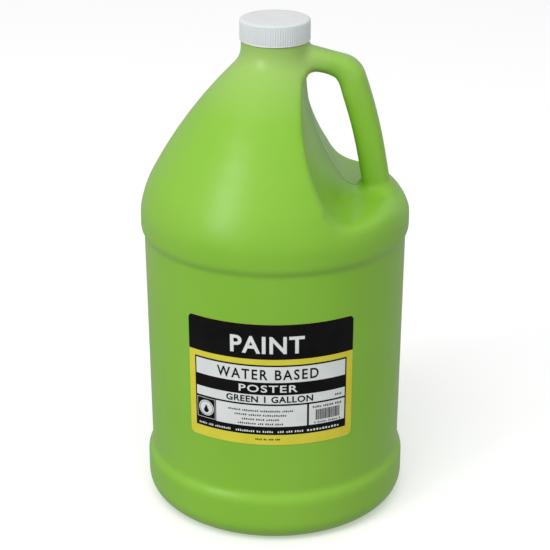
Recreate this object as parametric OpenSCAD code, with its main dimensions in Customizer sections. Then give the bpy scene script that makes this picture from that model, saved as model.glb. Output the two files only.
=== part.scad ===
// One-gallon round handled jug of paint, with its screw cap, cap liner, label and filling.
// Millimetres, +Z up. The origin is at the centre of the base, on the surface that the jug
// stands on. The handle points along +X and the label faces -Y.

/* [Body] */
// Radius of the body at its lower bulge, above the heel
body_r = 77.7; // [64:0.1:94]
// How far the upper bulge stands out beyond the lower one
bulge_out = 0.6; // [0:0.1:2]
// Depth of the label panel below the lower bulge
panel_step = 2.7; // [1.5:0.1:4]
// Height of the straight label panel
panel_h = 134.4; // [110:0.1:165]
// Outward lean of the label panel, in degrees
panel_lean = 0.6; // [0:0.1:1]
// Thickness of the moulded wall
wall = 1.3; // [0.9:0.1:1.8]
// Radius of the heel between the base and the side
heel_r = 13; // [8:0.5:18]
// Height by which the middle of the base is pushed up
push_up = 4; // [2:0.5:6]
// Width of the flat ring that the jug stands on
ring_w = 4; // [2:0.5:8]

/* [Neck] */
// Root radius of the neck thread
thread_root_r = 17.5; // [14.5:0.1:21]
// How far the plain neck stands out beyond the root of its thread
collar_w = 1.8; // [1:0.1:3]
// Crest height of the neck thread above its root
thread_h = 1.1; // [0.8:0.05:1.3]
// Rise of the thread in one turn
pitch = 4.2333; // [3.5:0.0001:5.1]
// Turns of thread on the neck
neck_turns = 1.1; // [0.8:0.1:1.2]
// Height of the threaded finish, from the collar to the rim
finish_h = 10.3; // [9.8:0.1:12.4]
// Wall of the threaded finish, from the bore to the root of the thread
finish_wall = 1.75; // [1.5:0.05:3]

/* [Handle] */
// Thickness of the grip, in the plane of the handle
grip_t = 15.8; // [13:0.1:19]
// Width of the grip, square to the plane of the handle
grip_w = 22; // [18:0.5:27]
// Thickness of the arm that joins the grip to the neck
arm_t = 12.4; // [10:0.1:15]
// Width of the arm
arm_w = 19; // [14:0.5:22]
// Radius of the handle's rounded edges
handle_edge_r = 6; // [4:0.5:6.5]
// Slope of the arm below the horizontal, in degrees
arm_slope = 15; // [8:1:20]
// Radius of the bend between arm and grip, on the centre line
bend_r = 10; // [9.5:0.5:18]
// Radius of the flare where the grip meets the body
foot_flare = 3; // [2:0.5:5]
// Draft of the finger recess on each side of the mould's parting plane, in degrees
recess_draft = 4; // [2:0.5:9]

/* [Cap] */
// Thickness of the cap's top
cap_top_t = 1.5; // [1:0.1:2.5]
// Thickness of the cap's skirt between the ribs
skirt_t = 0.85; // [0.7:0.05:1.5]
// Height of the ribs over the skirt
rib_h = 0.35; // [0.2:0.05:0.6]
// Number of grip ribs round the cap
rib_count = 90; // [60:1:110]
// Radial play between the cap and the neck thread
thread_play = 0.25; // [0.15:0.05:0.4]
// Gap between the flanks of the two threads when the cap is tight
flank_gap = 0.15; // [0.1:0.05:0.3]
// Gap between the cap's skirt and the neck's collar
skirt_gap = 0.6; // [0.3:0.1:1]
// Thickness of the foam liner inside the cap
liner_t = 1; // [0.6:0.1:1.6]

/* [Label] */
// Width of the label, round the panel
label_w = 99; // [60:1:140]
// Height of the label
label_h = 75.5; // [50:0.5:95]
// Height of the label's lower edge above the lower end of the panel
label_rise = 31; // [5:0.5:34]
// Thickness of the label film
label_t = 0.15; // [0.1:0.05:0.3]
// Radius of the label's corners
label_corner_r = 3; // [1:0.5:6]

/* [Paint] */
// Height of the paint's surface below the collar
headspace = 33; // [30:0.5:60]

/* [Hidden] */
$fn = 96;
film_gap = 0.05;
sagitta = 0.05;

bulge_r = body_r + bulge_out;
neck_r = thread_root_r + collar_w;
bore_r = thread_root_r - finish_wall;

// The base and the side, as a path from the axis outwards and up. A step is [length, 0] for a
// straight run and [radius, turn] for an arc. A turn above 0 goes left, towards the axis.
base_arc_r = 5;
base_turn = acos(1 - push_up / (2 * base_arc_r));
foot_line = 12;
step_r = [10, 5];
step_turn = acos(1 - panel_step / (step_r[0] + step_r[1]));
lip_r = [2.5, 8];
panel_top_r = body_r - panel_step + panel_h * sin(panel_lean);
lip_turn = acos(cos(panel_lean) - (bulge_r - panel_top_r) / (lip_r[0] + lip_r[1]));
bulge_line = 6;
crown = [[30, 13], [70, 15.5]];
dome_turn = 16.5;
neck_fillet_r = 14.7;
neck_line = 3.3;
crown_end = crown[0][1] + crown[1][1];
shoulder_end = crown_end + dome_turn;
crown_in = crown[0][0] * (1 - cos(crown[0][1]))
    + crown[1][0] * (cos(crown[0][1]) - cos(crown_end));
fillet_in = neck_fillet_r * (1 - cos(shoulder_end));
dome_r = (bulge_r - neck_r - crown_in - fillet_in) / (cos(crown_end) - cos(shoulder_end));

base_steps = [
    [body_r - heel_r - ring_w - 2 * base_arc_r * sin(base_turn), 0],
    [base_arc_r, -base_turn], [base_arc_r, base_turn],
    [ring_w, 0], [heel_r, 90], [foot_line, 0],
    [step_r[0], step_turn], [step_r[1], -step_turn - panel_lean]
];
panel_steps = [[panel_h, 0]];
shoulder_steps = [
    [lip_r[0], panel_lean - lip_turn], [lip_r[1], lip_turn],
    [bulge_line, 0], crown[0], crown[1], [dome_r, dome_turn]
];
neck_steps = [[neck_fillet_r, -shoulder_end]];

function arc_count(radius, turn) =
    max(2, ceil(abs(turn) / (2 * acos(1 - sagitta / radius))));
function arc_end(p, h, radius, turn) =
    p + sign(turn) * radius * [sin(h + turn) - sin(h), cos(h) - cos(h + turn)];
function step_points(p, h, step, inset) =
    step[1] == 0
    ? [p + step[0] * [cos(h), sin(h)]]
    : let (radius = step[0] - sign(step[1]) * inset, n = arc_count(step[0], step[1]))
      [for (i = [1:n]) arc_end(p, h, radius, step[1] * i / n)];
function walk(p, h, steps, inset = 0, i = 0) =
    i == len(steps)
    ? [p]
    : let (found = step_points(p, h, steps[i], inset), n = len(found))
      concat([p], [for (k = [0:1:n - 2]) found[k]],
          walk(found[n - 1], h + steps[i][1], steps, inset, i + 1));
function last(points) = points[len(points) - 1];

foot_path = walk([0, push_up], 0, base_steps);
panel_low = last(foot_path);
panel_path = walk([0, push_up], 0, concat(base_steps, panel_steps));
panel_high = last(panel_path);
crown_z = panel_high[1] + lip_r[0] * (sin(lip_turn) - sin(panel_lean))
    + lip_r[1] * sin(lip_turn) + bulge_line;
side_steps = concat(base_steps, panel_steps, shoulder_steps, neck_steps);
collar_z = last(walk([0, push_up], 0, side_steps))[1] + neck_line;
land_z = collar_z + finish_h;

// Outline of the body at a distance inside its surface, closed along the axis
function body_outline(inset, top) =
    concat(walk([0, push_up + inset], 0, side_steps, inset), top, [[0, last(top)[1]]]);

outer_top = [
    [neck_r, collar_z], [neck_r - 0.5, collar_z + 0.4], [thread_root_r, collar_z + 0.4],
    [thread_root_r, land_z - 0.5], [thread_root_r - 0.5, land_z]
];
cone_z = collar_z - 2.2;
function inner_top(inset) = let (neck_in = neck_r - inset)
    [[neck_in, cone_z], [bore_r, cone_z + neck_in - bore_r]];

// Finger recess: a cut along Y under the handle. Its outline runs from the underside of the arm
// down to the floor, along the floor under the handle's foot, and over the edge of the shoulder.
recess_start = [neck_r + 5.7, collar_z - 11.3];
recess_heads = [225, 272, 305, 362, 308];
recess_floor_z = crown_z + 15.5;
recess_back_r = 3;
recess_valley_r = 14;
recess_edge_r = 15;
valley_drop = recess_valley_r * (cos(recess_heads[3]) - cos(recess_heads[2]));
arch_line = 9;
recess_back = last(walk(recess_start, recess_heads[0],
    [[arch_line, 0], [recess_back_r, recess_heads[1] - recess_heads[0]]]));
recess_side_r = (recess_back[1] - recess_floor_z - valley_drop)
    / (cos(recess_heads[2]) - cos(recess_heads[1]));
recess_valley = last(walk(recess_back, recess_heads[1],
    [[recess_side_r, recess_heads[2] - recess_heads[1]],
     [recess_valley_r, recess_heads[3] - recess_heads[2]]]));
recess_floor = bulge_r - 15.8 - recess_valley[0];
recess_steps = [
    [arch_line, 0], [recess_back_r, recess_heads[1] - recess_heads[0]],
    [recess_side_r, recess_heads[2] - recess_heads[1]],
    [recess_valley_r, recess_heads[3] - recess_heads[2]],
    [recess_floor / cos(recess_heads[3]), 0],
    [recess_edge_r, recess_heads[4] - recess_heads[3]],
    [30, 0]
];
recess_reach = 1.3 * bulge_r;
recess_pivot = [recess_back[0], 0, recess_floor_z];

// Handle: its centre line runs from the foot up the grip, round the bend and into the neck.
foot_head = 100;
grip_turn = 10;
foot_x = bulge_r - 17.8;
foot_sink = 7;
body_run = 20;
arm_head = 180 - arm_slope;
bend_head = foot_head + grip_turn;
arm_root_z = collar_z - 9.6;
flare_sink = 1;
foot_start = [foot_x, recess_floor_z - foot_sink - flare_sink];
grip_start = foot_start + (foot_sink + body_run) * [cos(foot_head), sin(foot_head)];
bend_step = arc_end([0, 0], bend_head, bend_r, arm_head - bend_head);
grip_unit = arc_end([0, 0], foot_head, 1, grip_turn);
arm_rise = tan(arm_slope);
grip_r = (arm_root_z - grip_start[1] - bend_step[1]
    - arm_rise * (grip_start[0] + bend_step[0] - neck_r))
    / (grip_unit[1] + arm_rise * grip_unit[0]);
arm_end_x = thread_root_r / 2;
arm_run = (grip_start[0] + grip_r * grip_unit[0] + bend_step[0] - arm_end_x)
    / cos(arm_slope);
flare_rings = 4;
handle_steps = concat([[foot_sink, 0]],
    [for (i = [1:flare_rings]) [foot_flare / flare_rings, 0]],
    [[body_run - foot_flare, 0], [grip_r, grip_turn],
     [bend_r, arm_head - bend_head], [arm_run, 0]]);
bend_from = foot_sink + body_run + grip_r * grip_turn * PI / 180;
bend_to = bend_from + bend_r * (arm_head - bend_head) * PI / 180;

// Rings along a path: each is [point, heading, distance from the start]
function path_rings(p, h, steps, s = 0, i = 0) =
    i == len(steps)
    ? [[p, h, s]]
    : let (step = steps[i], straight = step[1] == 0,
           n = straight ? 1 : arc_count(step[0], step[1]),
           run = straight ? step[0] : step[0] * abs(step[1]) * PI / 180,
           next = straight
               ? p + run * [cos(h), sin(h)] : arc_end(p, h, step[0], step[1]))
      concat(
          [[p, h, s]],
          [for (k = [1:1:n - 1])
              [arc_end(p, h, step[0], step[1] * k / n), h + step[1] * k / n, s + run * k / n]],
          path_rings(next, h + step[1], steps, s + run, i + 1));

// Growth of the handle's section near its foot, a quarter circle up to the flare's radius
function flare(s) =
    let (short = max(0, foot_flare - max(0, s - foot_sink)))
    foot_flare - sqrt(foot_flare * foot_flare - short * short);

// One section of the handle, a rectangle with round corners, as points in space
edge_points = 5;
function section_points(ring, inset) =
    let (s = ring[2],
         t = lookup(s, [[bend_from, grip_t], [bend_to, arm_t]]) / 2 + flare(s),
         w = lookup(s, [[bend_from, grip_w], [bend_to, arm_w]]) / 2 + flare(s),
         r = min(handle_edge_r, t - 0.2))
    [for (corner = [0:3], i = [0:edge_points - 1])
        let (angle = 90 * corner + 90 * i / (edge_points - 1),
             across = (corner == 0 || corner == 3 ? t - r : r - t) + (r - inset) * cos(angle),
             out = (corner < 2 ? w - r : r - w) + (r - inset) * sin(angle))
        [ring[0][0] - across * sin(ring[1]), out, ring[0][1] + across * cos(ring[1])]];

module body(inset, top) {
    rotate_extrude() polygon(body_outline(inset, top));
}

function recess_outline(grow) = concat(
    walk(recess_start + grow * [-sin(45), sin(45)], recess_heads[0], recess_steps, -grow),
    [[recess_reach, crown_z - 10], [recess_reach, recess_start[1] + grow]]);

// Half of the recess, from a little past the parting plane out to one side
module recess_half(grow) {
    past = 12;
    translate(recess_pivot)
        rotate([recess_draft, 0, 0])
            rotate([0, 0, -recess_draft])
                translate([-recess_pivot[0], past, -recess_pivot[2]])
                    rotate([90, 0, 0])
                        linear_extrude(past + recess_reach) polygon(recess_outline(grow));
}

module recess(grow) {
    recess_half(grow);
    mirror([0, 1, 0]) recess_half(grow);
}

module handle(inset) {
    rings = path_rings(foot_start, foot_head, handle_steps);
    n = 4 * edge_points;
    top = n * (len(rings) - 1);
    polyhedron([for (ring = rings) each section_points(ring, inset)], concat(
        [[for (k = [0:n - 1]) n - 1 - k]],
        [[for (k = [0:n - 1]) top + k]],
        [for (i = [0:len(rings) - 2], k = [0:n - 1])
            let (a = n * i + k, b = n * i + (k + 1) % n)
            [a, b, b + n, a + n]]
    ), convexity = 6);
}

// The jug's whole form at a distance inside its outer surface
module jug_form(inset, top) {
    difference() {
        body(inset, top);
        recess(inset);
    }
    handle(inset);
}

// One ridge of thread, fading in and out at its ends. It stands on a wall of radius root_r, and
// crest_h is above 0 for a ridge that points outwards and below 0 for one that points inwards.
ridge_steps = 40;
ridge_sink = 0.4;
module thread_ridge(root_r, crest_h, root_w, crest_w, z, start, turns) {
    sink = -ridge_sink * sign(crest_h);
    rings = [for (i = [0:ridge_steps])
        let (share = i / ridge_steps,
             fade = min(1, 8 * share + 0.15, 8 * (1 - share) + 0.15),
             a = start + 360 * turns * share,
             middle = z + pitch * turns * share,
             corners = [
                 [root_r + sink, -root_w / 2], [root_r + crest_h * fade, -crest_w / 2],
                 [root_r + crest_h * fade, crest_w / 2], [root_r + sink, root_w / 2]
             ])
        for (c = corners) [c[0] * cos(a), c[0] * sin(a), middle + c[1]]];
    side = crest_h > 0 ? [3, 2, 1, 0] : [0, 1, 2, 3];
    last_ring = 4 * ridge_steps;
    polyhedron(rings, concat(
        [[for (k = [0:3]) side[k]]],
        [[for (k = [0:3]) last_ring + side[3 - k]]],
        [for (i = [0:ridge_steps - 1], k = [0:3])
            let (a = 4 * i + side[k], b = 4 * i + side[(k + 1) % 4])
            [a, a + 4, b + 4, b]]
    ), convexity = 6);
}

thread_w = [2.3, 1.1];
neck_thread_z = collar_z + 2.5;
neck_thread_start = 40;
module jug() {
    color([0.54, 0.78, 0.24]) difference() {
        union() {
            jug_form(0, outer_top);
            thread_ridge(thread_root_r, thread_h, thread_w[0], thread_w[1],
                neck_thread_z, neck_thread_start, neck_turns);
        }
        jug_form(wall, inner_top(wall));
        translate([0, 0, cone_z + 1]) cylinder(r = bore_r, h = 2 * finish_h);
    }
}

// The paint fills the jug and its handle up to the headspace, a film's width from the wall
paint_gap = 0.05;
paint_z = collar_z - headspace;
module paint() {
    color([0.45, 0.74, 0.16]) difference() {
        jug_form(wall + paint_gap, inner_top(wall + paint_gap));
        translate([0, 0, paint_z + bulge_r]) cube(2 * bulge_r, center = true);
    }
}

// The label lies on the panel and follows its lean
label_low_z = panel_low[1] + label_rise;
label_mid_r = panel_low[0] + (label_rise + label_h / 2) * tan(panel_lean);
label_angle = label_w / label_mid_r * 180 / PI;
module label_panel() {
    x = label_w / 2 - label_corner_r;
    bulged_x = label_mid_r * sin(label_angle / 2) - label_corner_r;
    z = [label_low_z + label_corner_r, label_low_z + label_h - label_corner_r];
    rotate([90, 0, 0]) linear_extrude(2 * bulge_r) union() {
        for (side = [-1, 1], level = z)
            translate([side * bulged_x, level]) circle(label_corner_r, $fn = 48);
        translate([-bulged_x, label_low_z]) square([2 * bulged_x, label_h]);
        translate([-x, z[0]]) square([2 * x, z[1] - z[0]]);
    }
}

module label() {
    low_r = panel_low[0] + label_rise * tan(panel_lean) + film_gap;
    high_r = low_r + label_h * tan(panel_lean);
    color([0.84, 0.79, 0.25]) intersection() {
        rotate([0, 0, -90 - label_angle / 2])
            rotate_extrude(angle = label_angle) polygon([
                [low_r, label_low_z], [low_r + label_t, label_low_z],
                [high_r + label_t, label_low_z + label_h], [high_r, label_low_z + label_h]
            ]);
        label_panel();
    }
}

// Cap and liner. The cap's thread hangs under the neck's, a flank's gap below it.
cap_bore_r = thread_root_r + thread_h + thread_play;
cap_low_z = collar_z + skirt_gap;
cap_ceiling_z = land_z + liner_t;
cap_top_z = cap_ceiling_z + cap_top_t;
cap_skirt_r = cap_bore_r + skirt_t;
cap_edge_r = 1.2;
cap_thread_h = thread_h - thread_play;
cap_thread_turns = 1;
cap_thread_w = [2, 0.9];
cap_flank = (cap_thread_w[0] - cap_thread_w[1]) / 2 / (cap_thread_h + ridge_sink);
thread_drop = (thread_w[1] + cap_thread_w[0]) / 2
    - cap_flank * (ridge_sink + thread_play) + flank_gap;
liner_play = 0.5;

module cap_liner() {
    color([0.93, 0.93, 0.9]) translate([0, 0, land_z])
        cylinder(r = cap_bore_r - liner_play, h = liner_t);
}

// Grip ribs: one toothed ring round the skirt
module cap_ribs() {
    step = 360 / rib_count;
    inner = cap_skirt_r - 0.3;
    rib_low = 0.4;
    rib_top = 1.5;
    translate([0, 0, cap_low_z + rib_low])
        linear_extrude(cap_top_z - cap_low_z - rib_low - rib_top) difference() {
            polygon([for (i = [0:rib_count - 1], p = [[0, 0], [0.3, rib_h], [0.7, rib_h]])
                (cap_skirt_r - 0.02 + p[1]) * [cos((i + p[0]) * step), sin((i + p[0]) * step)]]);
            circle(inner);
        }
}

module screw_cap() {
    gate_r = 0.8;
    gate_h = 0.25;
    half_turn = 180;
    cap_thread_z = neck_thread_z + pitch * half_turn / 360 - thread_drop;
    color([0.93, 0.94, 0.94]) union() {
        difference() {
            rotate_extrude() polygon(concat(
                [[0, cap_low_z], [cap_skirt_r, cap_low_z]],
                walk([cap_skirt_r, cap_top_z - cap_edge_r], 90, [[cap_edge_r, 90]]),
                [[0, cap_top_z]]));
            translate([0, 0, cap_low_z - 1])
                cylinder(r = cap_bore_r, h = cap_ceiling_z - cap_low_z + 1);
        }
        cap_ribs();
        translate([0, 0, cap_top_z - gate_h]) cylinder(r = gate_r, h = 2 * gate_h);
        thread_ridge(cap_bore_r, -cap_thread_h, cap_thread_w[0], cap_thread_w[1], cap_thread_z,
            neck_thread_start + half_turn, cap_thread_turns);
    }
}

jug();
paint();
label();
cap_liner();
screw_cap();
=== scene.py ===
import math

import bpy
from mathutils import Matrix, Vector
from mathutils.kdtree import KDTree


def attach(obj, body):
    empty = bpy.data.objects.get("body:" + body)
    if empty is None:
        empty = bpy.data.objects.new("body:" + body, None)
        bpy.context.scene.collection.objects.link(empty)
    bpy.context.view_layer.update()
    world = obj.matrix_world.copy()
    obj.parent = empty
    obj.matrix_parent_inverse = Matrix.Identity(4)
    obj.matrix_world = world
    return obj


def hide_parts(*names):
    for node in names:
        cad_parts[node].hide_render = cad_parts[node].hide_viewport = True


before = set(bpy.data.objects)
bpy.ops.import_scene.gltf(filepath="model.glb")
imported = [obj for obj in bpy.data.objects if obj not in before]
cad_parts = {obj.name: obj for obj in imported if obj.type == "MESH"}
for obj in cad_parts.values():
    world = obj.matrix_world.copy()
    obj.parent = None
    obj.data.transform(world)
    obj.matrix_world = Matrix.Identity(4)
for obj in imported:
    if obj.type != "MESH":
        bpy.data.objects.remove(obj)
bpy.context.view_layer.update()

# ---------------------------------------------------------------------------------------------
# Sizes, in millimetres, of the jug that the part was designed from
# ---------------------------------------------------------------------------------------------
MM = 0.001

BODY_R = 77.7
PANEL_LEAN = 0.6
PANEL_HEIGHT = 134.4
HEEL_R = 13
RING_WIDE = 4
PUSH_UP = 4
PUSH_R = 5
COLLAR_Z = 281.37
RIM_Z = 291.67
NECK_R = 19.3
THREAD_ROOT_R = 17.5
THREAD_CREST_R = 18.6
BORE_R = 15.75
PITCH = 4.2333
THREAD_LOW_Z = COLLAR_Z + 2.5
WALL = 1.3
PAINT_GAP = 0.15
PAINT_TOP_Z = 248.4
SHELL_TOP_Z = 280.3
LINING_TOP_Z = 278.5
SKIN_CELL = 1.58

RECESS_TOP = (25, 270.1)
RECESS_DRAFT = 4
RECESS_PULL = 110

GRIP_THICK = 15.8
GRIP_WIDE = 22
GRIP_EDGE_R = 6.2
ARM_SHARE = 0.8
FOOT = (60.5, 187.5)
FOOT_HEAD = 100
GRIP_TURN = 10
BEND_R = 10
ARM_SLOPE = 15
BEND_TURN = 180 - ARM_SLOPE - FOOT_HEAD - GRIP_TURN
ARM_ROOT_Z = COLLAR_Z - 9.6

LABEL_LOW_Z = 64.64
LABEL_HIGH = 75.5
LABEL_WIDE = 99
LABEL_LOW_R = 75.32
FILM_OUT = 0.06
FILM_THICK = 0.14


# ---------------------------------------------------------------------------------------------
# Modelling helpers
# ---------------------------------------------------------------------------------------------
def deselect():
    if bpy.context.object and bpy.context.object.mode != "OBJECT":
        bpy.ops.object.mode_set(mode="OBJECT")
    bpy.ops.object.select_all(action="DESELECT")


def take(obj):
    """Makes obj the one selected, active object."""
    deselect()
    obj.select_set(True)
    bpy.context.view_layer.objects.active = obj


def edit(obj, select="SELECT"):
    take(obj)
    bpy.ops.object.mode_set(mode="EDIT")
    bpy.ops.mesh.select_mode(type="VERT")
    bpy.ops.mesh.select_all(action=select)


def done():
    bpy.ops.object.mode_set(mode="OBJECT")


def apply_modifier(obj, kind, **settings):
    take(obj)
    modifier = obj.modifiers.new(kind.title(), kind)
    for key, value in settings.items():
        setattr(modifier, key, value)
    bpy.ops.object.modifier_apply(modifier=modifier.name)


def remove(obj):
    bpy.data.objects.remove(obj, do_unlink=True)


def duplicate(obj, name):
    take(obj)
    bpy.ops.object.duplicate()
    copy = bpy.context.object
    copy.name = name
    return copy


def join(parts, name):
    deselect()
    for part in parts:
        part.select_set(True)
    bpy.context.view_layer.objects.active = parts[0]
    bpy.ops.object.join()
    parts[0].name = name
    return parts[0]


def start_point(name, point):
    """A plane drawn in to a single vertex, moved to the start of an outline."""
    deselect()
    bpy.ops.mesh.primitive_plane_add(size=0.01)
    obj = bpy.context.object
    obj.name = name
    edit(obj)
    bpy.ops.mesh.merge(type="CENTER")
    bpy.ops.transform.translate(value=point)
    return obj


def draw_outline(name, points):
    """Draws points (across, up), in millimetres, as a chain of edges in the XZ plane."""
    points = [Vector((x * MM, 0, z * MM)) for x, z in points]
    obj = start_point(name, points[0])
    for here, there in zip(points, points[1:]):
        bpy.ops.mesh.extrude_region_move(TRANSFORM_OT_translate={"value": there - here})
    done()
    return obj


def spin_outline(obj, steps):
    """Spins an outline a full turn about Z, closes the seam and the poles, and faces it out."""
    edit(obj)
    bpy.ops.mesh.spin(steps=steps, angle=2 * math.pi, center=(0, 0, 0), axis=(0, 0, 1))
    bpy.ops.mesh.select_all(action="SELECT")
    bpy.ops.mesh.remove_doubles(threshold=0.00001)
    bpy.ops.mesh.normals_make_consistent(inside=False)
    done()
    return obj


def walk(start, heading, steps, fine=5):
    """Points along a path of (length, 0) straight runs and (radius, turn) arcs, in degrees.
    A turn above 0 goes left."""
    x, z = start
    points = [(x, z)]
    for size, turn in steps:
        if turn == 0:
            x += size * math.cos(math.radians(heading))
            z += size * math.sin(math.radians(heading))
            points.append((x, z))
            continue
        side = math.copysign(1, turn)
        count = max(2, math.ceil(abs(turn) / fine))
        for i in range(1, count + 1):
            a = math.radians(heading)
            b = math.radians(heading + turn * i / count)
            points.append((x + side * size * (math.sin(b) - math.sin(a)),
                           z + side * size * (math.cos(a) - math.cos(b))))
        x, z = points[-1]
        heading += turn
    return points


def smooth(obj, angle=None):
    take(obj)
    if angle is None:
        bpy.ops.object.shade_smooth()
    else:
        bpy.ops.object.shade_smooth_by_angle(angle=math.radians(angle))


def turn(angle, axis, centre):
    """Turns what is selected in edit mode by the right-hand rule, in degrees. With no window the
    operator turns the other way."""
    bpy.ops.transform.rotate(value=-math.radians(angle), orient_axis=axis, center_override=centre)


def select_where(obj, test):
    """Selects, in edit mode, the vertices that pass the test, and the faces that they close."""
    edit(obj, "DESELECT")
    done()
    for vertex in obj.data.vertices:
        vertex.select = bool(test(vertex.co))
    bpy.ops.object.mode_set(mode="EDIT")
    bpy.ops.mesh.select_mode(type="VERT")


def reach(co):
    """Distance from the jug's axis."""
    return math.hypot(co.x, co.y)


def helix_ridge(name, base_r, top_r, base_w, top_w, low_z, start, turns):
    """One thread: a tapered section pulled round and up in small steps, thin at both ends."""
    steps = round(44 * turns)
    deselect()
    bpy.ops.mesh.primitive_plane_add(size=1, rotation=(math.radians(90), 0, 0))
    ridge = bpy.context.object
    ridge.name = name
    bpy.ops.object.transform_apply(location=True, rotation=True, scale=True)
    middle = (base_r + top_r) / 2
    edit(ridge)
    bpy.ops.transform.resize(value=(abs(top_r - base_r) * MM, 1, base_w * MM))
    done()
    for vertex in ridge.data.vertices:
        if vertex.co.x * (top_r - base_r) > 0:
            vertex.co.z *= top_w / base_w
    edit(ridge)
    bpy.ops.mesh.bevel(offset=0.25 * MM, segments=2, affect="VERTICES")
    bpy.ops.mesh.select_all(action="SELECT")
    place = Vector((middle * MM, 0, low_z * MM))
    bpy.ops.transform.translate(value=place)
    turn(start, "Z", (0, 0, 0))

    def fade(i):
        return min(1, 0.3 + 0.7 * min(i, steps - i) / 5)

    def here(i):
        a = math.radians(start + 360 * turns * i / steps)
        r = middle + (base_r - middle) * 0.6 * (1 - fade(i))
        return Vector((r * math.cos(a), r * math.sin(a), low_z + PITCH * turns * i / steps)) * MM

    size = 1.0
    for i in range(steps + 1):
        if i:
            bpy.ops.mesh.extrude_region_move(
                TRANSFORM_OT_translate={"value": here(i) - here(i - 1)})
            turn(360 * turns / steps, "Z", here(i))
        scale = fade(i) / size
        bpy.ops.transform.resize(value=(scale, scale, scale), center_override=here(i))
        size = fade(i)
    bpy.ops.mesh.select_all(action="SELECT")
    bpy.ops.mesh.normals_make_consistent(inside=False)
    done()
    return ridge


# ---------------------------------------------------------------------------------------------
# The jug
# ---------------------------------------------------------------------------------------------
def body_outline(top):
    """The outline of the body from the middle of its base up to the neck."""
    push_turn = math.degrees(math.acos(1 - PUSH_UP / (2 * PUSH_R)))
    flat = BODY_R - HEEL_R - RING_WIDE - 2 * PUSH_R * math.sin(math.radians(push_turn))
    step_turn, lip_turn, shoulder_turn = 34.9, 34.95, 45
    base = [(flat, 0), (PUSH_R, -push_turn), (PUSH_R, push_turn), (RING_WIDE, 0), (HEEL_R, 90),
            (12, 0)]
    panel = [(10, step_turn), (5, -step_turn - PANEL_LEAN), (PANEL_HEIGHT, 0),
             (2.5, PANEL_LEAN - lip_turn), (8, lip_turn), (6, 0)]
    dome = [(30, 13), (70, 15.5), (275.1, 16.5), (14.7, -shoulder_turn), (3.3, 0)]
    return walk((0, PUSH_UP), 0, base + panel + dome, fine=3) + [(NECK_R, top), (0, top)]


def make_body():
    top = COLLAR_Z + 6
    return spin_outline(draw_outline("jug_body_solid", body_outline(top)), 384)


def make_recess_cutter(side):
    """Half of the finger recess: its outline drawn on the parting plane, filled, and pulled out to
    one side along the draft."""
    outline = walk(RECESS_TOP, 225, [
        (9, 0), (3, 47), (111.4, 33), (14, 57), (12.7, 0), (15, -54), (30, 0)], fine=3)
    beyond, below = 102, 170
    outline += [(beyond, below), (beyond, RECESS_TOP[1])]
    cutter = draw_outline("recess_cutter", outline)
    edit(cutter)
    bpy.ops.mesh.edge_face_add()
    draft = math.tan(math.radians(RECESS_DRAFT))
    pull = RECESS_PULL * MM
    bpy.ops.mesh.extrude_region_move(TRANSFORM_OT_translate={
        "value": (-draft * pull, side * pull, -draft * pull)})
    bpy.ops.mesh.select_all(action="SELECT")
    bpy.ops.mesh.normals_make_consistent(inside=False)
    done()
    return cutter


def arc_step(heading, radius, angle):
    """How far an arc to the left goes, in X and Z."""
    first, last = math.radians(heading), math.radians(heading + angle)
    return radius * (math.sin(last) - math.sin(first)), radius * (math.cos(first) - math.cos(last))


def grip_radius(start):
    """The radius of the grip's slight curve that brings the arm to its place on the neck."""
    rise = math.tan(math.radians(ARM_SLOPE))
    curve_x, curve_z = arc_step(FOOT_HEAD, 1, GRIP_TURN)
    bend_x, bend_z = arc_step(FOOT_HEAD + GRIP_TURN, BEND_R, BEND_TURN)
    gap = ARM_ROOT_Z - start[1] - bend_z - rise * (start[0] + bend_x - NECK_R)
    return gap / (curve_z + rise * curve_x)


def handle_stations():
    """Centre points, headings and sizes along the handle, from inside the foot to inside the
    neck. The size is a share of the grip's section."""
    foot = walk(FOOT, FOOT_HEAD, [(7, 0), (1, 0), (1, 0), (1.5, 0), (2, 0), (14.5, 0)])
    radius = grip_radius(foot[-1])
    grip = walk(foot[-1], FOOT_HEAD, [(radius, GRIP_TURN)], fine=2)
    bend = walk(grip[-1], FOOT_HEAD + GRIP_TURN, [(BEND_R, BEND_TURN)], fine=5)
    run = (bend[-1][0] - THREAD_ROOT_R / 2) / math.cos(math.radians(ARM_SLOPE))
    runs = 6
    arm = walk(bend[-1], 180 - ARM_SLOPE, [(run / runs, 0)] * runs)
    points = foot + grip[1:] + bend[1:] + arm[1:]
    flare = {0: 1.42, 1: 1.42, 2: 1.26, 3: 1.15, 4: 1.05, 5: 1.0}
    bend_from = len(foot) + len(grip) - 2
    stations = []
    count = len(points)
    for i, (x, z) in enumerate(points):
        before = points[max(i - 1, 0)]
        after = points[min(i + 1, count - 1)]
        heading = math.degrees(math.atan2(after[1] - before[1], after[0] - before[0]))
        narrowing = min(1, max(0, (i - bend_from) / (len(bend) - 1)))
        size = flare.get(i, 1 - (1 - ARM_SHARE) * narrowing)
        stations.append((Vector((x * MM, 0, z * MM)), heading, size))
    return stations


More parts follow.
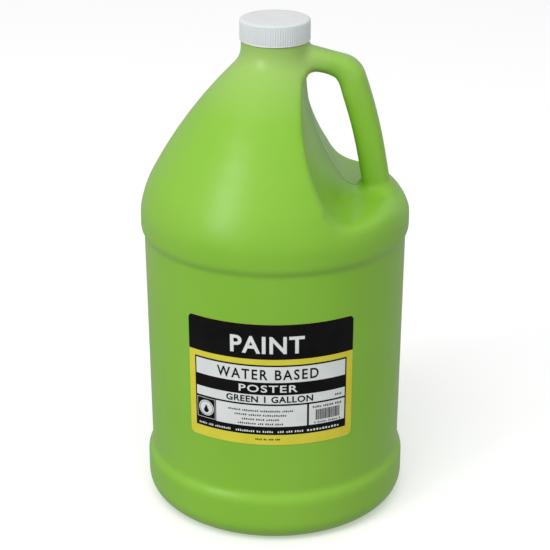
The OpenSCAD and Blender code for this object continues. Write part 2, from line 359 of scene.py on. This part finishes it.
def make_handle():
    """The handle's rounded section, pulled along its path ring by ring."""
    stations = handle_stations()
    deselect()
    bpy.ops.mesh.primitive_plane_add(size=1)
    handle = bpy.context.object
    handle.name = "jug_handle"
    edit(handle)
    bpy.ops.transform.resize(value=(GRIP_THICK * MM, GRIP_WIDE * MM, 1))
    bpy.ops.mesh.bevel(offset=GRIP_EDGE_R * MM, segments=7, affect="VERTICES")
    here, heading, size = stations[0]
    bpy.ops.mesh.select_all(action="SELECT")
    bpy.ops.transform.resize(value=(size, size, size), center_override=(0, 0, 0))
    turn(90 - heading, "Y", (0, 0, 0))
    bpy.ops.transform.translate(value=here)
    for there, turned, share in stations[1:]:
        bpy.ops.mesh.extrude_region_move(TRANSFORM_OT_translate={"value": there - here})
        turn(heading - turned, "Y", there)
        scale = share / size
        bpy.ops.transform.resize(value=(scale, scale, scale), center_override=there)
        here, heading, size = there, turned, share
    bpy.ops.mesh.select_all(action="SELECT")
    bpy.ops.mesh.normals_make_consistent(inside=False)
    done()
    return handle


def crease_points(solid, angle):
    """Where the solid has a sharp edge, which the moulding rounds."""
    edit(solid, "DESELECT")
    bpy.ops.mesh.select_mode(type="EDGE")
    bpy.ops.mesh.edges_select_sharp(sharpness=math.radians(angle))
    bpy.ops.mesh.select_mode(type="VERT")
    done()
    return [v.co.copy() for v in solid.data.vertices if v.select]


def soften(skin, name, creases, radius_at):
    """Gives the skin a vertex group, full on the creases, that fades out at their radius."""
    tree = KDTree(len(creases))
    for i, point in enumerate(creases):
        tree.insert(point, i)
    tree.balance()
    group = skin.vertex_groups.new(name=name)
    for vertex in skin.data.vertices:
        point, _, away = tree.find(vertex.co)
        radius = radius_at(point)
        if away < radius:
            share = 1 - away / radius
            group.add([vertex.index], min(1.0, 1.6 * share), "REPLACE")


def underside():
    """Points along the lower side of the arm and round the inside of the bend, where the
    moulding sweeps from the neck into the grip in one arch."""
    points = []
    for place, heading, size in handle_stations():
        if heading > FOOT_HEAD + GRIP_TURN + 5 and place.x > NECK_R * MM:
            aim = math.radians(heading + 90)
            inward = Vector((math.cos(aim), 0, math.sin(aim))) * GRIP_THICK * size / 2 * MM
            points += [place + inward + Vector((0, y * MM, 0)) for y in (-6, -3, 0, 3, 6)]
    return points


def blend_radius(point):
    """How far the moulding's rounding reaches from a crease, in metres."""
    x, y, z = point / MM
    if z > 262:
        return (7 if z < 274 else 3.5) * MM
    if abs(y) < 16 and x > 44:
        return 7 * MM
    if z < 205 and x > 30:
        return 15 * MM
    return 3.2 * MM if z < 215 else 2.4 * MM


def wide_radius(point):
    """How far the softest rounding reaches: only where the moulding flows into the handle."""
    x, _, z = point / MM
    if z > 235 and x > 24:
        return 8 * MM
    return max(0, blend_radius(point) - 3.2 * MM)


def make_moulding():
    """The outside of the jug below the collar: body, recess and handle, joined and then rounded
    where they meet, as the moulding is."""
    solid = make_body()
    for side in (-1, 1):
        cutter = make_recess_cutter(side)
        apply_modifier(solid, "BOOLEAN", operation="DIFFERENCE", object=cutter, solver="EXACT")
        remove(cutter)
    handle = make_handle()
    apply_modifier(solid, "BOOLEAN", operation="UNION", object=handle, solver="EXACT")
    remove(handle)

    creases = crease_points(solid, 24)
    inside = underside()
    skin = duplicate(solid, "jug_shell")
    apply_modifier(skin, "REMESH", mode="VOXEL", voxel_size=SKIN_CELL * MM)
    soften(skin, "blend", creases, blend_radius)
    soften(skin, "wide_blend", creases + inside, wide_radius)
    apply_modifier(skin, "SHRINKWRAP", target=solid, wrap_method="NEAREST_SURFACEPOINT",
                   vertex_group="blend", invert_vertex_group=True)
    apply_modifier(skin, "SMOOTH", factor=0.5, iterations=8, vertex_group="blend")
    apply_modifier(skin, "SMOOTH", factor=0.5, iterations=45, vertex_group="wide_blend")
    apply_modifier(skin, "SMOOTH", factor=0.5, iterations=2)
    remove(solid)
    skin.vertex_groups.clear()
    return skin


def cut_top(obj, z, fill=False):
    """Cuts the piece off level, leaving it open or closing it with a flat face."""
    edit(obj)
    bpy.ops.mesh.bisect(plane_co=(0, 0, z * MM), plane_no=(0, 0, 1), clear_outer=True,
                        use_fill=fill)
    done()


def inner_copy(skin, name, depth, share):
    """A copy of the skin, some way in from it and with a share of its faces."""
    copy = duplicate(skin, name)
    apply_modifier(copy, "DISPLACE", strength=-depth * MM, mid_level=0)
    apply_modifier(copy, "SMOOTH", factor=0.5, iterations=3)
    apply_modifier(copy, "DECIMATE", ratio=share)
    return copy


def make_lining(skin):
    """The inside of the wall, one wall's thickness in."""
    lining = inner_copy(skin, "lining", WALL, 0.14)
    edit(lining)
    bpy.ops.mesh.flip_normals()
    done()
    return lining


def make_paint_fill(skin):
    """The paint: it fills the moulding, handle and all, up to its level surface."""
    paint = inner_copy(skin, "paint_fill", WALL + PAINT_GAP, 0.12)
    cut_top(paint, PAINT_TOP_Z, fill=True)
    smooth(paint, 40)
    return paint


def make_finish():
    """The neck above the moulding: its collar, the threaded finish, the rim and the bore. The
    outline is a closed ring, and the face under it is then taken out."""
    foot_out, foot_in = 280.8, 279
    outline = [(NECK_R, foot_out)]
    outline += walk((NECK_R, COLLAR_Z), 90, [(0.5, 90)], fine=20)
    outline += walk((THREAD_ROOT_R + 0.4, COLLAR_Z + 0.5), 180, [(0.4, -90)], fine=20)
    outline += walk((THREAD_ROOT_R, RIM_Z - 0.6), 90, [(0.6, 90)], fine=15)
    outline += walk((BORE_R + 0.5, RIM_Z), 180, [(0.5, 90)], fine=15)
    outline += [(BORE_R, COLLAR_Z), (NECK_R - WALL, foot_in), (NECK_R, foot_out)]
    finish = spin_outline(draw_outline("finish", outline), 160)
    thread = helix_ridge("thread", THREAD_ROOT_R - 0.4, THREAD_CREST_R, 2.3, 1.1,
                         THREAD_LOW_Z, 40, 1.1)
    apply_modifier(finish, "BOOLEAN", operation="UNION", object=thread, solver="EXACT")
    remove(thread)
    select_where(finish, lambda co: co.z < (foot_out + 0.01) * MM)
    bpy.ops.mesh.delete(type="ONLY_FACE")
    done()
    return finish


def bridge(obj, test):
    """Joins the two open rings whose vertices pass the test."""
    edit(obj, "DESELECT")
    bpy.ops.mesh.select_mode(type="EDGE")
    bpy.ops.mesh.select_non_manifold(use_wire=False, use_multi_face=False,
                                     use_non_contiguous=False, use_verts=False)
    done()
    vertices = obj.data.vertices
    for edge in obj.data.edges:
        edge.select = edge.select and all(test(vertices[v].co) for v in edge.vertices)
    chosen = {v for edge in obj.data.edges if edge.select for v in edge.vertices}
    for vertex in vertices:
        vertex.select = vertex.index in chosen
    for face in obj.data.polygons:
        face.select = False
    bpy.ops.object.mode_set(mode="EDIT")
    bpy.ops.mesh.bridge_edge_loops()
    done()


def make_jug():
    skin = make_moulding()
    lining = make_lining(skin)
    paint = make_paint_fill(skin)
    cut_top(skin, SHELL_TOP_Z)
    cut_top(lining, LINING_TOP_Z)
    finish = make_finish()
    jug = join([skin, lining, finish], "jug_shell")
    middle = (NECK_R - WALL / 2) * MM
    bridge(jug, lambda co: co.z > 0.27 and reach(co) > middle)
    bridge(jug, lambda co: co.z > 0.27 and reach(co) < middle)
    smooth(jug, 50)
    return jug, paint


# ---------------------------------------------------------------------------------------------
# The cap
# ---------------------------------------------------------------------------------------------
CAP_LOW_Z = COLLAR_Z + 0.6
CAP_CEILING_Z = RIM_Z + 1.0
CAP_TOP_Z = CAP_CEILING_Z + 1.5
CAP_BORE_R = THREAD_CREST_R + 0.25
CAP_SKIRT_R = CAP_BORE_R + 0.85
CAP_RIB_R = 20.03
CAP_RIBS = 90
RIB_ROUND = 0.45


def make_cap_shell():
    """The skirt and the top in one outline: the gate mark, the top, its round edge, the skirt,
    and back up the inside."""
    outline = [(0, CAP_TOP_Z + 0.22), (0.55, CAP_TOP_Z + 0.22), (0.75, CAP_TOP_Z + 0.1),
               (0.95, CAP_TOP_Z - 0.05), (1.6, CAP_TOP_Z)]
    edge = 1.3
    corner = walk((CAP_SKIRT_R + 0.15, CAP_TOP_Z - edge), 90, [(edge, 90)], fine=10)
    outline += [(9, CAP_TOP_Z)] + corner[::-1]
    outline += [(CAP_SKIRT_R + 0.05, CAP_LOW_Z + 1), (CAP_SKIRT_R + 0.2, CAP_LOW_Z + 0.8),
                (CAP_SKIRT_R + 0.25, CAP_LOW_Z + 0.25), (CAP_SKIRT_R, CAP_LOW_Z),
                (CAP_BORE_R + 0.25, CAP_LOW_Z), (CAP_BORE_R, CAP_LOW_Z + 0.3),
                (CAP_BORE_R, CAP_CEILING_Z), (0, CAP_CEILING_Z)]
    return spin_outline(draw_outline("cap_shell", outline), 180)


def make_cap_rib():
    """One grip rib: a slim bar with a round back and a tapered upper end, sunk into the skirt."""
    low, high = CAP_LOW_Z + 0.9, CAP_TOP_Z - 0.9
    deselect()
    bpy.ops.mesh.primitive_cylinder_add(vertices=12, radius=RIB_ROUND * MM,
                                        depth=(high - low) * MM)
    rib = bpy.context.object
    edit(rib)
    bpy.ops.transform.translate(value=((CAP_RIB_R - RIB_ROUND) * MM, 0, (low + high) / 2 * MM))
    done()
    select_where(rib, lambda co: co.z > (high - 0.01) * MM)
    tip = 0.5
    bpy.ops.mesh.extrude_region_move(TRANSFORM_OT_translate={"value": (-0.35 * MM, 0, tip * MM)})
    bpy.ops.transform.resize(value=(0.4, 0.6, 1), center_override=(
        (CAP_SKIRT_R - 0.1) * MM, 0, (high + tip) * MM))
    done()
    return rib


def make_cap():
    shell = make_cap_shell()
    rib = make_cap_rib()
    ribs = [rib]
    for i in range(1, CAP_RIBS):
        copy = duplicate(rib, "rib")
        edit(copy)
        turn(360 * i / CAP_RIBS, "Z", (0, 0, 0))
        done()
        ribs.append(copy)
    thread = helix_ridge("cap_thread", CAP_BORE_R + 0.4, CAP_BORE_R - 0.85, 2, 0.9,
                         THREAD_LOW_Z + PITCH / 2 - 1.41, 220, 1)
    cap = join([shell, thread] + ribs, "screw_cap_white")
    smooth(cap, 35)
    return cap


# ---------------------------------------------------------------------------------------------
# The label, drawn flat and then laid on the panel. Flat, X runs along the label from its middle
# and Y up from its lower edge, in millimetres.
# ---------------------------------------------------------------------------------------------
LABEL_HALF = LABEL_WIDE / 2
LABEL_MID_R = LABEL_LOW_R + LABEL_HIGH / 2 * math.tan(math.radians(PANEL_LEAN))
FRAME_HALF = 45.4
WHITE_HALF = 44.5
INK_STEP = 0.03
SEAL_X = -38.3


def patch(left, right, low, high, corner=0.0, upper_only=False):
    """A rectangle of print, with round corners where asked."""
    deselect()
    bpy.ops.mesh.primitive_plane_add(size=1)
    obj = bpy.context.object
    edit(obj)
    bpy.ops.transform.resize(value=(right - left, high - low, 1))
    bpy.ops.transform.translate(value=((left + right) / 2, (low + high) / 2, 0))
    done()
    if corner:
        select_where(obj, lambda co: co.y > high - 0.01 or not upper_only)
        bpy.ops.mesh.bevel(offset=corner, segments=6, affect="VERTICES")
        done()
    return obj


def disc(x, y, radius, inner=0.0):
    """A round patch, or a ring where an inner radius is given."""
    deselect()
    bpy.ops.mesh.primitive_circle_add(vertices=48, radius=radius, fill_type="NGON")
    obj = bpy.context.object
    edit(obj)
    if inner:
        bpy.ops.mesh.inset(thickness=radius - inner)
        bpy.ops.mesh.delete(type="FACE")
        bpy.ops.mesh.select_all(action="SELECT")
    bpy.ops.transform.translate(value=(x, y, 0))
    done()
    return obj


def drop_mark(x, y, size):
    """A plain paint drop: a disc with its top drawn up to a point."""
    mark = disc(x, y, size)
    for vertex in mark.data.vertices:
        rise = (vertex.co.y - y) / size
        if rise > 0:
            vertex.co.y = y + size * (rise + 0.9 * rise ** 2)
            vertex.co.x = x + (vertex.co.x - x) * (1 - 0.6 * rise)
    return mark


def word(text, middle, low, width, height, spacing=1.0, heavy=0.0):
    """A word fitted to a width and a height."""
    deselect()
    bpy.ops.object.text_add()
    obj = bpy.context.object
    obj.data.body = text
    obj.data.space_character = spacing
    obj.data.offset = heavy
    obj.data.resolution_u = 4
    bpy.ops.object.convert(target="MESH")
    obj = bpy.context.object
    xs = [v.co.x for v in obj.data.vertices]
    ys = [v.co.y for v in obj.data.vertices]
    edit(obj)
    bpy.ops.transform.translate(value=(-(min(xs) + max(xs)) / 2, -min(ys), 0))
    bpy.ops.transform.resize(
        value=(width / (max(xs) - min(xs)), height / (max(ys) - min(ys)), 1),
        center_override=(0, 0, 0))
    bpy.ops.transform.translate(value=(middle, low, 0))
    done()
    return obj


def small_print(left, right, low, height, words):
    """A line of print too small to read, as a row of bars of word lengths."""
    gap = 0.6 * height
    scale = (right - left - gap * (len(words) - 1)) / sum(words)
    bars = []
    x = left
    for length in words:
        letters = max(1, round(length))
        step = length * scale / letters
        for i in range(letters):
            tall = height * (0.8 if (i * 7 + letters) % 3 else 0.6)
            bars.append(patch(x + step * i, x + step * (i + 0.6), low, low + tall))
        x += length * scale + gap
    return bars


def bar_code(left, right, low, high):
    """A row of plain bars of mixed widths, which stand for no number."""
    bars = []
    x = left
    widths = (3, 1, 2, 1, 1, 3, 1, 2, 2, 1, 3, 1, 1, 2, 3, 1, 2, 1, 1, 2, 1, 3, 2, 1, 1, 2)
    gap = 1.3
    unit = (right - left) / (sum(widths) + gap * len(widths))
    for width in widths:
        bars.append(patch(x, x + width * unit, low, high))
        x += (width + gap) * unit
    return bars


def lay_on_panel(parts, name, level, thick=0.02):
    """Joins flat print, cuts it finely across, and wraps it on the panel at a height over the
    film, with its own small thickness."""
    sheet = join(parts, name)
    edit(sheet)
    reach_x = math.ceil(LABEL_HALF)
    aside = 0.01
    for x in range(-reach_x, reach_x + 1, 2):
        bpy.ops.mesh.select_all(action="SELECT")
        bpy.ops.mesh.bisect(plane_co=(x + aside, 0, 0), plane_no=(1, 0, 0))
    done()
    apply_modifier(sheet, "SOLIDIFY", thickness=thick, offset=1)
    lean = math.tan(math.radians(PANEL_LEAN))
    for vertex in sheet.data.vertices:
        x, y, out = vertex.co
        angle = x / LABEL_MID_R
        r = LABEL_LOW_R + y * lean + level + out
        vertex.co = Vector((r * math.sin(angle), -r * math.cos(angle), LABEL_LOW_Z + y)) * MM
    edit(sheet)
    bpy.ops.mesh.normals_make_consistent(inside=False)
    done()
    smooth(sheet, 30)
    return sheet


def down(distance):
    """The height on the flat label of a place some distance below its upper edge."""
    return LABEL_HIGH - distance


def ink_level(layer):
    """How far a layer of print lies off the panel: over the film, with a step between layers."""
    return FILM_OUT + FILM_THICK + layer * INK_STEP


def make_label_pieces():
    film = lay_on_panel([patch(-LABEL_HALF, LABEL_HALF, 0, LABEL_HIGH, 3)], "label_film",
                        FILM_OUT, FILM_THICK)

    header = patch(-LABEL_HALF, LABEL_HALF, down(21.4), LABEL_HIGH, 3, upper_only=True)
    frame_panel = patch(-FRAME_HALF, FRAME_HALF, down(69), down(24.9), 0.4)
    black = lay_on_panel([header, frame_panel], "label_black", ink_level(1))

    text_low, text_high = down(63.8), down(50.4)
    bands = [
        patch(-WHITE_HALF, WHITE_HALF, down(35.8), down(25.9)),
        patch(-WHITE_HALF, WHITE_HALF, down(49.3), down(43.6)),
        patch(-31.8, 21.2, text_low, text_high),
        patch(22.4, WHITE_HALF, text_low, text_high),
        disc(SEAL_X, down(57), 4.9),
    ]
    left, right, low, high, line = -44.4, -32.4, down(63.4), down(50.6), 0.25
    bands += [patch(left, right, low, low + line), patch(left, right, high - line, high),
              patch(left, left + line, low, high), patch(right - line, right, low, high)]
    words = [
        word("PAINT", -1.5, down(17.8), 42, 10.6, spacing=1.1, heavy=0.024),
        word("POSTER", -1, down(42), 33.5, 4.6, spacing=1.15, heavy=0.015),
    ]
    for left, right, lengths in ((-43.2, -22.6, (5, 3, 9)), (-19.8, 2.2, (9, 2, 5)),
                                 (4.4, 19.6, (3, 3, 4)), (21.4, 41.6, (11,))):
        words += small_print(left, right, down(67.6), 1.5, lengths)
    white = lay_on_panel(bands + words, "label_white", ink_level(3))

    marks = [
        word("WATER BASED", -1.5, down(34.2), 58.5, 6.5, spacing=1.25, heavy=0.018),
        word("GREEN 1 GALLON", -0.3, down(48.5), 50, 4.1, spacing=1.08, heavy=0.026),
        disc(SEAL_X, down(57), 4.3, 4.05),
        drop_mark(SEAL_X, down(58.2), 1.7),
    ]
    marks += small_print(38.2, 42.6, down(47.6), 1.5, (4,))
    middle = -5.3
    for i, (width, lengths) in enumerate(((37.5, (7, 9, 11, 6)), (30.3, (6, 6, 11)),
                                          (21.7, (6, 4, 6)), (26.3, (9, 3, 4, 4)))):
        marks += small_print(middle - width / 2, middle + width / 2, down(54.4 + 2.75 * i), 1.35,
                             lengths)
    marks += small_print(24.6, 42.6, down(53.2), 1.6, (5, 6, 4))
    marks += bar_code(26.4, 41.4, down(61), down(54.4))
    marks += small_print(25.6, 42.2, down(63.1), 1.2, (1, 5, 5, 1))
    marks += small_print(-8.3, 6.1, down(72.4), 1.3, (4, 2, 3, 3))
    ink = lay_on_panel(marks, "label_ink", ink_level(5))
    return film, black, white, ink


# ---------------------------------------------------------------------------------------------
# Materials
# ---------------------------------------------------------------------------------------------
class Finish:
    """A material built up node by node on the piece's Object coordinates."""

    def __init__(self, name):
        self.material = bpy.data.materials.new(name)
        self.material.use_nodes = True
        self.tree = self.material.node_tree
        self.shader = self.tree.nodes["Principled BSDF"]
        self.place = self.node("ShaderNodeTexCoord").outputs["Object"]

    def node(self, kind, **settings):
        made = self.tree.nodes.new(kind)
        for key, value in settings.items():
            setattr(made, key, value)
        return made

    def link(self, output, socket):
        self.tree.links.new(output, socket)

    def set(self, **values):
        for key, value in values.items():
            self.shader.inputs[key.replace("_", " ")].default_value = value

    def noise(self, scale, detail=2.0, stretch=None):
        texture = self.node("ShaderNodeTexNoise")
        texture.inputs["Scale"].default_value = scale
        texture.inputs["Detail"].default_value = detail
        if stretch:
            mapping = self.node("ShaderNodeMapping")
            mapping.inputs["Scale"].default_value = stretch
            self.link(self.place, mapping.inputs["Vector"])
            self.link(mapping.outputs["Vector"], texture.inputs["Vector"])
        else:
            self.link(self.place, texture.inputs["Vector"])
        return texture.outputs["Fac"]

    def ramp(self, value, low, high, from_value, to_value):
        """value from low to high becomes from_value to to_value."""
        mapped = self.node("ShaderNodeMapRange")
        mapped.inputs["From Min"].default_value = low
        mapped.inputs["From Max"].default_value = high
        mapped.inputs["To Min"].default_value = from_value
        mapped.inputs["To Max"].default_value = to_value
        self.link(value, mapped.inputs["Value"])
        return mapped.outputs["Result"]

    def mix(self, share, first, second):
        mixed = self.node("ShaderNodeMix", data_type="RGBA")
        self.link(share, mixed.inputs["Factor"])
        for socket, colour in ((mixed.inputs[6], first), (mixed.inputs[7], second)):
            if isinstance(colour, tuple):
                socket.default_value = (*colour, 1)
            else:
                self.link(colour, socket)
        return mixed.outputs[2]

    def maths(self, operation, first, second=None):
        made = self.node("ShaderNodeMath", operation=operation)
        for socket, value in zip(made.inputs, (first, second)):
            if value is None:
                continue
            if isinstance(value, (int, float)):
                socket.default_value = value
            else:
                self.link(value, socket)
        return made.outputs[0]

    def axes(self):
        split = self.node("ShaderNodeSeparateXYZ")
        self.link(self.place, split.inputs["Vector"])
        return split.outputs

    def bump(self, height, distance, strength=1.0, under=None):
        made = self.node("ShaderNodeBump")
        made.inputs["Strength"].default_value = strength
        made.inputs["Distance"].default_value = distance
        self.link(height, made.inputs["Height"])
        if under:
            self.link(under, made.inputs["Normal"])
        return made.outputs["Normal"]


def line_mask(finish, value, half_width):
    """1 on a thin line where the value is near zero, and 0 away from it."""
    away = finish.maths("ABSOLUTE", value)
    return finish.ramp(away, 0, half_width, 1, 0)


def green_moulding():
    """Semi-gloss polyethylene over green paint: a little depth, orange peel, slow waves in the
    wall, the mould's parting line in the plane of the handle with painted shade along it, and a
    paler neck that is partly a painted highlight."""
    f = Finish("green_moulding")
    x, y, z = f.axes()
    cloud = f.noise(9, 3)
    colour = f.mix(f.ramp(cloud, 0.3, 0.7, 0, 1), (0.195, 0.44, 0.024), (0.225, 0.475, 0.031))
    streak = f.noise(30, 2, (1, 1, 0.25))
    colour = f.mix(f.ramp(streak, 0.35, 0.75, 0, 0.25), colour, (0.245, 0.49, 0.055))
    # Paler where no paint lies behind the wall, most of all on the neck. This is partly a painted
    #     highlight: the neck and upper shoulder are lightened, and the handle's arm less.
    paint_level_and_highlight = f.ramp(z, (PAINT_TOP_Z - 4) * MM, (PAINT_TOP_Z + 26) * MM, 0, 0.76)
    paint_level_and_highlight = f.maths("MULTIPLY", paint_level_and_highlight, f.ramp(x, 0.021, 0.033, 1, 0.35))
    colour = f.mix(paint_level_and_highlight, colour, (0.33, 0.51, 0.14))
    # Fine rub marks where the jug touches others: at its heel and its widest part
    marks = f.ramp(f.noise(260, 3, (0.3, 0.3, 2.2)), 0.58, 0.72, 0, 1)
    rubbed = f.maths("ADD", f.ramp(z, 0.004, 0.014, 1, 0),
                     line_mask(f, f.maths("SUBTRACT", z, 0.174), 0.006))
    wear = f.maths("MULTIPLY", marks, f.maths("MULTIPLY", rubbed, f.ramp(
        f.noise(35, 2), 0.42, 0.62, 0, 0.22)))
    colour = f.mix(wear, colour, (0.36, 0.56, 0.15))
    # The parting line is faint all round, and a heavier pinch line inside the finger hole. The
    #     ridge itself is real and is bumped. Its darker colour is painted shade along the thin
    #     ridge.
    parting = line_mask(f, y, 0.0005)
    hole_x = f.ramp(x, 0.052, 0.056, 1, 0)
    hole_z = f.maths("MULTIPLY", f.ramp(z, 0.188, 0.194, 0, 1), f.ramp(z, 0.250, 0.260, 1, 0))
    pinch = f.maths("MULTIPLY", line_mask(f, y, 0.0011), f.maths(
        "MULTIPLY", hole_z, f.maths("MULTIPLY", hole_x, f.ramp(x, 0.012, 0.016, 0, 1))))
    seam_painted_shade = f.maths("MAXIMUM", f.maths("MULTIPLY", parting, 0.22),
                         f.maths("MULTIPLY", pinch, 0.7))
    # Painted shade: the colour is darkened along the seam ridges
    colour = f.mix(seam_painted_shade, colour, (0.04, 0.10, 0.01))
    parting = f.maths("MAXIMUM", parting, pinch)
    f.link(colour, f.shader.inputs["Base Color"])
    f.link(f.maths("ADD", f.ramp(f.noise(60, 3), 0.3, 0.7, 0.32, 0.40), f.maths(
        "MULTIPLY", wear, 0.25)), f.shader.inputs["Roughness"])
    waves = f.bump(f.noise(22, 1), 0.0012, 0.35)
    peel = f.bump(f.noise(900, 2), 0.00005, 0.35, waves)
    seam = f.bump(parting, 0.00025, 0.8, peel)
    f.link(seam, f.shader.inputs["Normal"])
    f.set(Subsurface_Weight=0.12, Subsurface_Scale=0.004, IOR=1.5)
    f.shader.inputs["Subsurface Radius"].default_value = (0.6, 1.0, 0.2)
    return f.material


def liquid_paint():
    """Still wet paint: a smooth, glossy green, very slightly uneven."""
    f = Finish("liquid_paint")
    colour = f.mix(f.noise(14, 2), (0.24, 0.51, 0.02), (0.28, 0.55, 0.03))
    f.link(colour, f.shader.inputs["Base Color"])
    f.link(f.bump(f.noise(30, 1), 0.0004, 0.3), f.shader.inputs["Normal"])
    f.set(Roughness=0.12, IOR=1.48)
    return f.material


def printed_film(name, colour, other, gloss=0.34):
    """Satin label film with its ink: a slightly mottled colour and a faint film texture."""
    f = Finish(name)
    shade = f.mix(f.ramp(f.noise(120, 3), 0.35, 0.65, 0, 1), colour, other)
    f.link(shade, f.shader.inputs["Base Color"])
    f.link(f.ramp(f.noise(300, 2), 0.3, 0.7, gloss - 0.04, gloss + 0.05),
           f.shader.inputs["Roughness"])
    ripple = f.bump(f.noise(45, 2), 0.0003, 0.18)
    f.link(f.bump(f.noise(2200, 2), 0.00002, 0.3, ripple), f.shader.inputs["Normal"])
    f.set(IOR=1.18)
    return f.material


def white_cap_plastic():
    """Satin white polypropylene with a soft mottle of faint flow marks."""
    f = Finish("white_cap_plastic")
    shade = f.mix(f.ramp(f.noise(70, 3), 0.3, 0.7, 0, 1), (0.63, 0.645, 0.65),
                  (0.67, 0.685, 0.69))
    f.link(shade, f.shader.inputs["Base Color"])
    f.link(f.ramp(f.noise(180, 2), 0.3, 0.7, 0.30, 0.42), f.shader.inputs["Roughness"])
    f.link(f.bump(f.noise(1500, 2), 0.00003, 0.4), f.shader.inputs["Normal"])
    f.set(Subsurface_Weight=0.15, Subsurface_Scale=0.002, IOR=1.49)
    return f.material


def liner_foam():
    """Matte closed-cell foam."""
    f = Finish("liner_foam")
    cell = f.node("ShaderNodeTexVoronoi")
    cell.inputs["Scale"].default_value = 1800
    f.link(f.place, cell.inputs["Vector"])
    shade = f.mix(f.ramp(cell.outputs["Distance"], 0, 0.8, 0, 1), (0.70, 0.70, 0.67),
                  (0.82, 0.82, 0.79))
    f.link(shade, f.shader.inputs["Base Color"])
    f.link(f.bump(cell.outputs["Distance"], 0.0001, 0.5), f.shader.inputs["Normal"])
    f.set(Roughness=0.8)
    return f.material


def dress(obj, material):
    obj.data.materials.clear()
    obj.data.materials.append(material)
    for face in obj.data.polygons:
        face.material_index = 0


# ---------------------------------------------------------------------------------------------
# The pieces on their bodies
# ---------------------------------------------------------------------------------------------
jug, paint = make_jug()
dress(jug, green_moulding())
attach(jug, "jug_body")
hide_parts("jug")

dress(paint, liquid_paint())
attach(paint, "jug_body")
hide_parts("paint")

cap = make_cap()
dress(cap, white_cap_plastic())
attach(cap, "cap")
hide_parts("screw_cap")

film, black, white, ink = make_label_pieces()
black_ink = printed_film("black_ink", (0.003, 0.003, 0.003), (0.005, 0.005, 0.005), 0.30)
dress(film, printed_film("yellow_film", (0.60, 0.54, 0.045), (0.64, 0.58, 0.06)))
dress(black, black_ink)
dress(white, printed_film("white_ink", (0.63, 0.66, 0.65), (0.67, 0.70, 0.69)))
dress(ink, black_ink)
for piece in (film, black, white, ink):
    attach(piece, "jug_body")
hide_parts("label")

dress(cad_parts["cap_liner"], liner_foam())


# ---------------------------------------------------------------------------------------------
# Stage
# ---------------------------------------------------------------------------------------------
def make_floor():
    deselect()
    bpy.ops.mesh.primitive_plane_add(size=12, location=(0, 0, -0.1 * MM))
    floor = bpy.context.object
    floor.name = "floor"
    paper = bpy.data.materials.new("white_paper")
    paper.use_nodes = True
    shader = paper.node_tree.nodes["Principled BSDF"]
    shader.inputs["Base Color"].default_value = (0.72, 0.72, 0.72, 1)
    shader.inputs["Roughness"].default_value = 0.7
    shader.inputs["Emission Color"].default_value = (1, 1, 1, 1)
    shader.inputs["Emission Strength"].default_value = 0.32
    dress(floor, paper)
    floor.visible_diffuse = False
    floor.visible_glossy = False


def area_light(name, place, aim, size, power):
    deselect()
    bpy.ops.object.light_add(type="AREA", location=place)
    light = bpy.context.object
    light.name = name
    light.data.shape = "RECTANGLE"
    light.data.size, light.data.size_y = size
    light.data.energy = power
    light.rotation_euler = (Vector(aim) - Vector(place)).to_track_quat("-Z", "Y").to_euler()
    return light


def make_camera():
    azimuth, height = math.radians(2.2), math.radians(22.88)
    away = 1.0178
    target = Vector((0, 0, 0.13806))
    deselect()
    bpy.ops.object.camera_add()
    camera = bpy.context.object
    camera.name = "camera"
    camera.location = target + away * Vector((
        math.sin(azimuth) * math.cos(height), -math.cos(azimuth) * math.cos(height),
        math.sin(height)))
    camera.rotation_euler = (math.radians(90) - height, 0, azimuth)
    camera.data.sensor_width = 36
    camera.data.lens = 112.1
    bpy.context.scene.camera = camera


def make_surroundings():
    """A soft white studio round the jug, dimmer from below."""
    world = bpy.data.worlds.new("studio")
    bpy.context.scene.world = world
    world.use_nodes = True
    tree = world.node_tree
    background = tree.nodes["Background"]
    background.inputs["Color"].default_value = (1, 1, 1, 1)
    direction = tree.nodes.new("ShaderNodeTexCoord")
    split = tree.nodes.new("ShaderNodeSeparateXYZ")
    level = tree.nodes.new("ShaderNodeMapRange")
    for name, value in (("From Min", -0.3), ("From Max", 0.3),
                        ("To Min", 0.48), ("To Max", 0.64)):
        level.inputs[name].default_value = value
    tree.links.new(direction.outputs["Generated"], split.inputs["Vector"])
    tree.links.new(split.outputs["Z"], level.inputs["Value"])
    tree.links.new(level.outputs["Result"], background.inputs["Strength"])
    bpy.context.scene.view_settings.view_transform = "Standard"


make_floor()
make_camera()
area_light("softbox_left", (-1.75, -1.7, 1.5), (0, 0, 0.2), (0.9, 1.6), 26)
overhead = area_light("softbox_front", (-0.1, -1.7, 2.7), (0, 0, 0.2), (2.1, 1.5), 46)
overhead.visible_glossy = False
make_surroundings()
